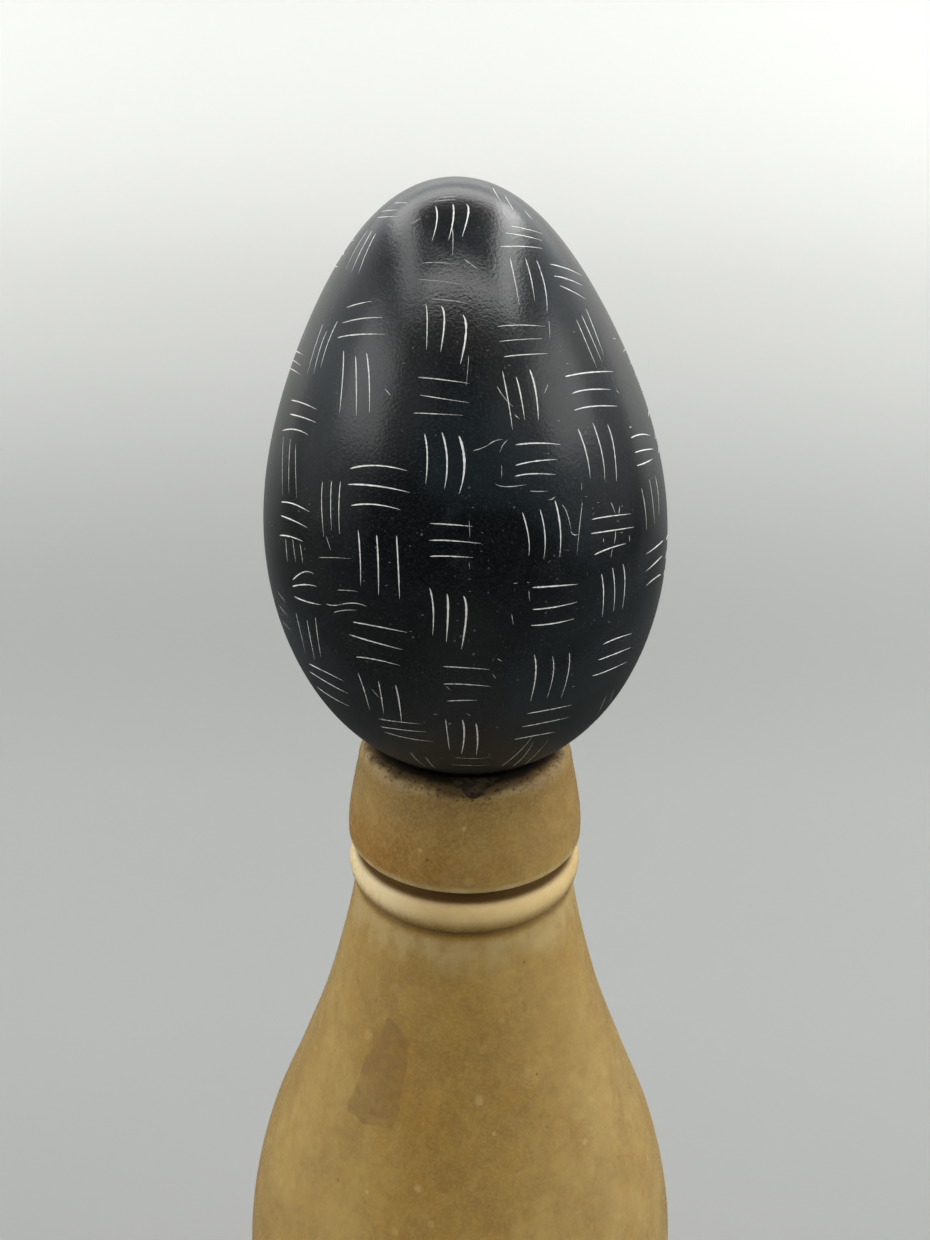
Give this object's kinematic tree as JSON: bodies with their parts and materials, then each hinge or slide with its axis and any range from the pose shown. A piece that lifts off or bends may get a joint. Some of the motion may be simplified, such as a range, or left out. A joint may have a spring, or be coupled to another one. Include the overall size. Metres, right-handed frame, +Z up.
{
  "type": "carved stone egg on a stoneware bottle stand",
  "caption": "Incised polished stone egg standing blunt end down in the mouth of an ochre glazed stoneware bottle that serves as its stand.",
  "frame": {"origin": "middle of the flat base that the bottle stands on", "axes": "+Z up along the bottle's axis; the side the picture shows faces -Y; the egg leans slightly towards -X"},
  "size_m": [0.0676, 0.0676, 0.2481],
  "materials": {
    "black_stone": "dyed black soft stone, hand polished to a satin shine, with pale grey incised strokes",
    "ochre_stoneware": "ochre salt glaze over pale stoneware, mottled, with a worn lip and a cream bead ring"
  },
  "bodies": {
    "root": {"carved_egg": "black_stone", "stoneware_bottle": "ochre_stoneware"}
  },
  "joints": []
}
